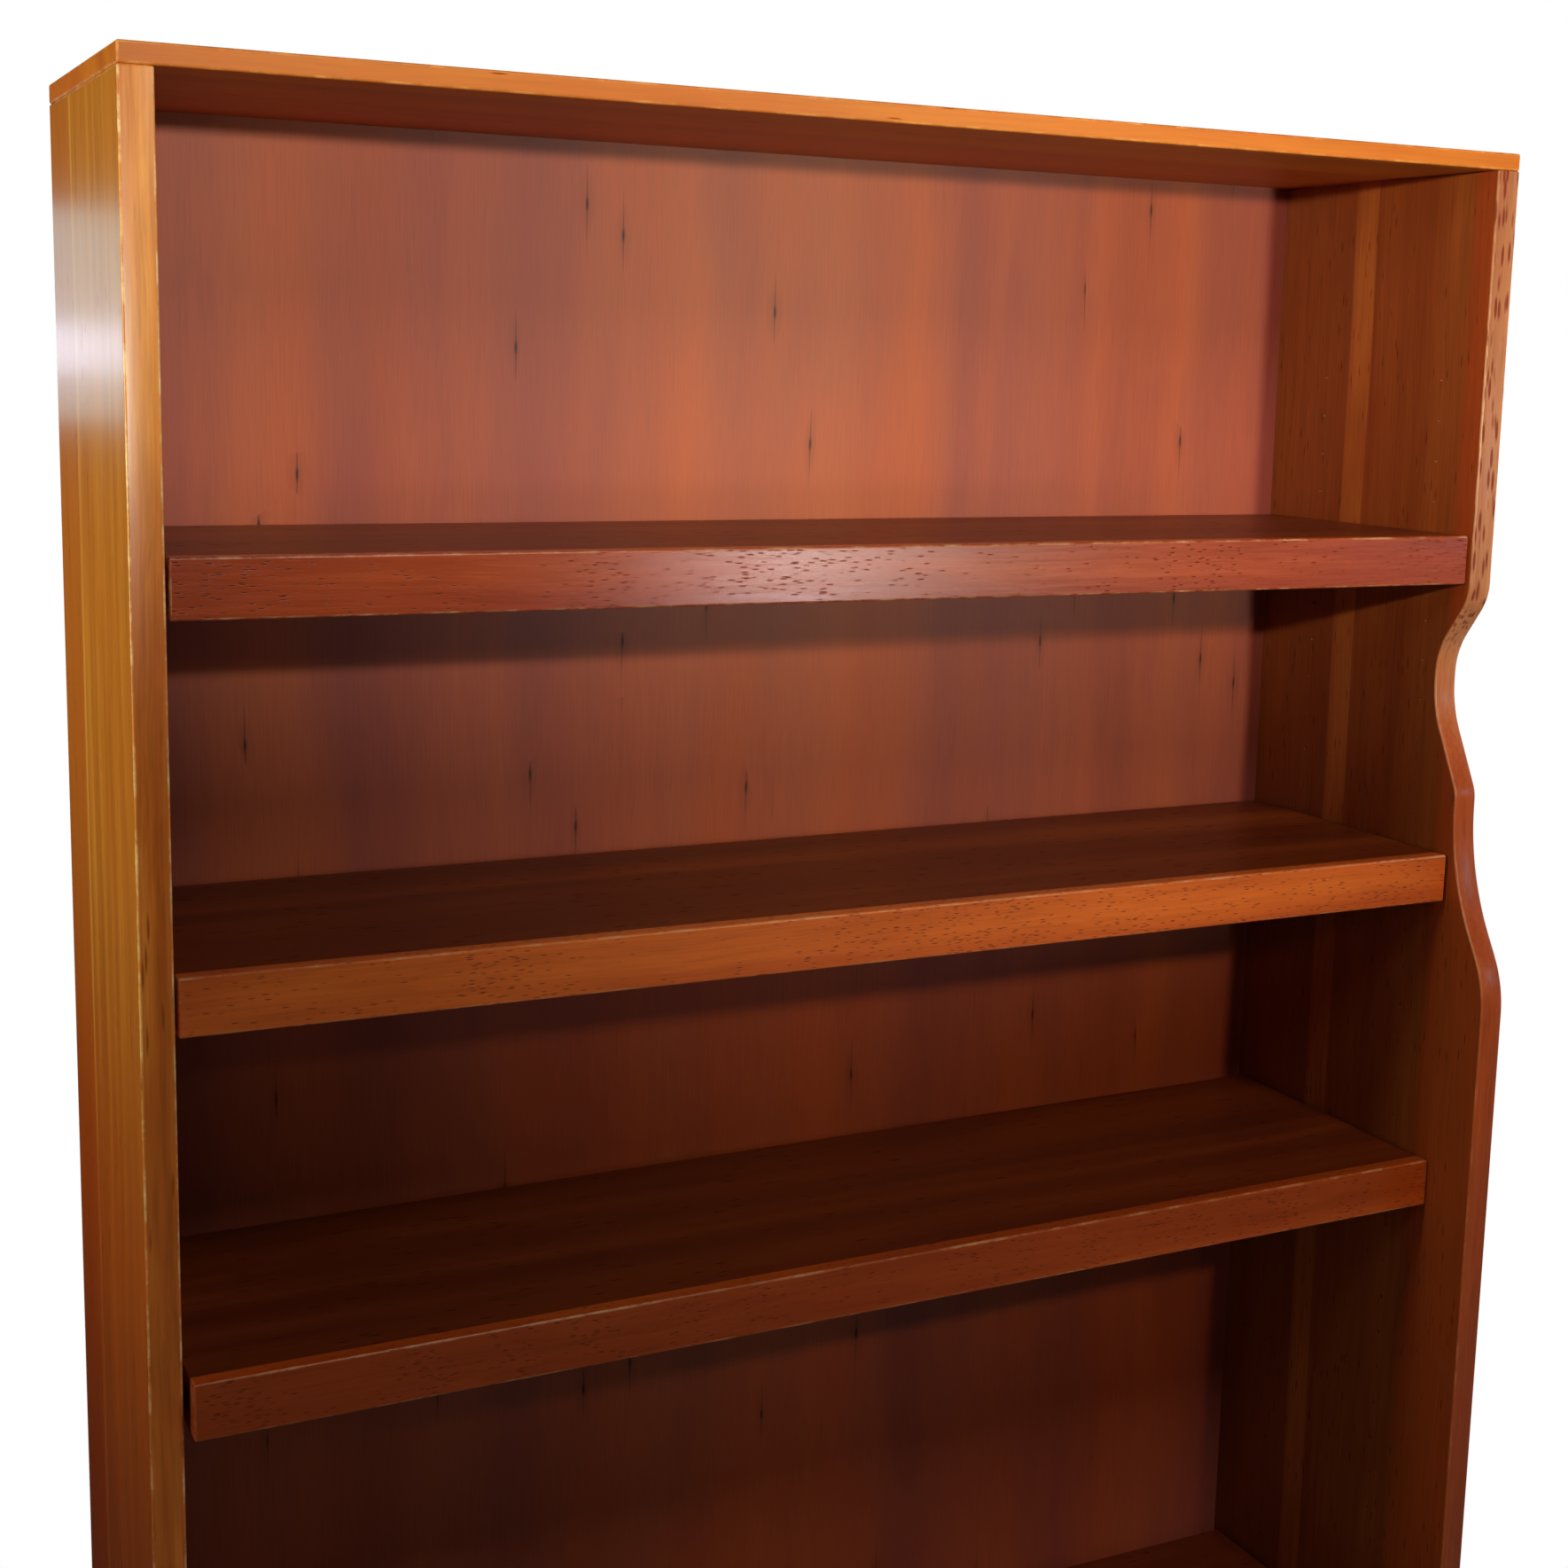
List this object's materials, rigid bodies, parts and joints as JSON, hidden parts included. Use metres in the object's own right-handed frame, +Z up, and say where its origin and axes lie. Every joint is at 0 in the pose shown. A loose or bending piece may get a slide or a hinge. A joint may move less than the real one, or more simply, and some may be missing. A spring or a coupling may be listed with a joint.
{
  "type": "bookcase with adjustable shelves",
  "caption": "Tall open wooden bookcase with a shaped right side, a fixed bottom shelf and thick shelves on metal pins that move up and down in rows of holes.",
  "frame": {"origin": "on the floor, under the centre of the bookcase's outer box", "axes": "+Z up, the open front faces -Y, the plain side panel is at -X and the shaped one at +X"},
  "size_m": [1.045, 0.308, 1.829],
  "materials": {
    "mahogany": "red-brown stained hardwood under satin lacquer",
    "amber_wood": "amber-brown hardwood under gloss lacquer",
    "panel_veneer": "red-brown veneered plywood, satin",
    "pale_wood": "plain unfinished wood",
    "pin_metal": "plated steel",
    "screw_steel": "zinc-plated steel"
  },
  "bodies": {
    "case": {"left_side_panel": "amber_wood", "right_side_panel": "mahogany", "top_panel": "mahogany", "back_panel": "panel_veneer", "bottom_shelf": "mahogany", "bottom_shelf_edging": "mahogany", "toe_kick": "mahogany", "rear_base_rail": "pale_wood", "glue_blocks": "pale_wood", "top_dowels": "pale_wood", "bottom_shelf_dowels": "pale_wood", "toe_kick_dowels": "pale_wood", "base_rail_dowels": "pale_wood", "back_screws": "screw_steel"},
    "shelf_1": {"shelf_1_board": "mahogany", "shelf_1_edging": "mahogany"},
    "shelf_1_left_pins_pair": {"shelf_1_left_pins": "pin_metal"},
    "shelf_1_right_pins_pair": {"shelf_1_right_pins": "pin_metal"},
    "shelf_2": {"shelf_2_board": "mahogany", "shelf_2_edging": "mahogany"},
    "shelf_2_left_pins_pair": {"shelf_2_left_pins": "pin_metal"},
    "shelf_2_right_pins_pair": {"shelf_2_right_pins": "pin_metal"},
    "shelf_3": {"shelf_3_board": "mahogany", "shelf_3_edging": "mahogany"},
    "shelf_3_left_pins_pair": {"shelf_3_left_pins": "pin_metal"},
    "shelf_3_right_pins_pair": {"shelf_3_right_pins": "pin_metal"},
    "shelf_4": {"shelf_4_board": "mahogany", "shelf_4_edging": "mahogany"},
    "shelf_4_left_pins_pair": {"shelf_4_left_pins": "pin_metal"},
    "shelf_4_right_pins_pair": {"shelf_4_right_pins": "pin_metal"}
  },
  "joints": [
    {"name": "shelf_1_slide", "type": "slide", "parent": "case", "child": "shelf_1", "axis": [0, -1, 0], "range_m": [-0.007, 0.3]},
    {"name": "shelf_2_slide", "type": "slide", "parent": "case", "child": "shelf_2", "axis": [0, -1, 0], "range_m": [-0.007, 0.3]},
    {"name": "shelf_3_slide", "type": "slide", "parent": "case", "child": "shelf_3", "axis": [0, -1, 0], "range_m": [-0.006, 0.3]},
    {"name": "shelf_4_slide", "type": "slide", "parent": "case", "child": "shelf_4", "axis": [0, -1, 0], "range_m": [-0.007, 0.3]},
    {"name": "shelf_1_left_pins_pull", "type": "slide", "parent": "case", "child": "shelf_1_left_pins_pair", "axis": [1, 0, 0], "range_m": [0, 0.01]},
    {"name": "shelf_1_right_pins_pull", "type": "slide", "parent": "case", "child": "shelf_1_right_pins_pair", "axis": [-1, 0, 0], "range_m": [0, 0.01]},
    {"name": "shelf_2_left_pins_pull", "type": "slide", "parent": "case", "child": "shelf_2_left_pins_pair", "axis": [1, 0, 0], "range_m": [0, 0.01]},
    {"name": "shelf_2_right_pins_pull", "type": "slide", "parent": "case", "child": "shelf_2_right_pins_pair", "axis": [-1, 0, 0], "range_m": [0, 0.01]},
    {"name": "shelf_3_left_pins_pull", "type": "slide", "parent": "case", "child": "shelf_3_left_pins_pair", "axis": [1, 0, 0], "range_m": [0, 0.01]},
    {"name": "shelf_3_right_pins_pull", "type": "slide", "parent": "case", "child": "shelf_3_right_pins_pair", "axis": [-1, 0, 0], "range_m": [0, 0.01]},
    {"name": "shelf_4_left_pins_pull", "type": "slide", "parent": "case", "child": "shelf_4_left_pins_pair", "axis": [1, 0, 0], "range_m": [0, 0.01]},
    {"name": "shelf_4_right_pins_pull", "type": "slide", "parent": "case", "child": "shelf_4_right_pins_pair", "axis": [-1, 0, 0], "range_m": [0, 0.01]}
  ]
}
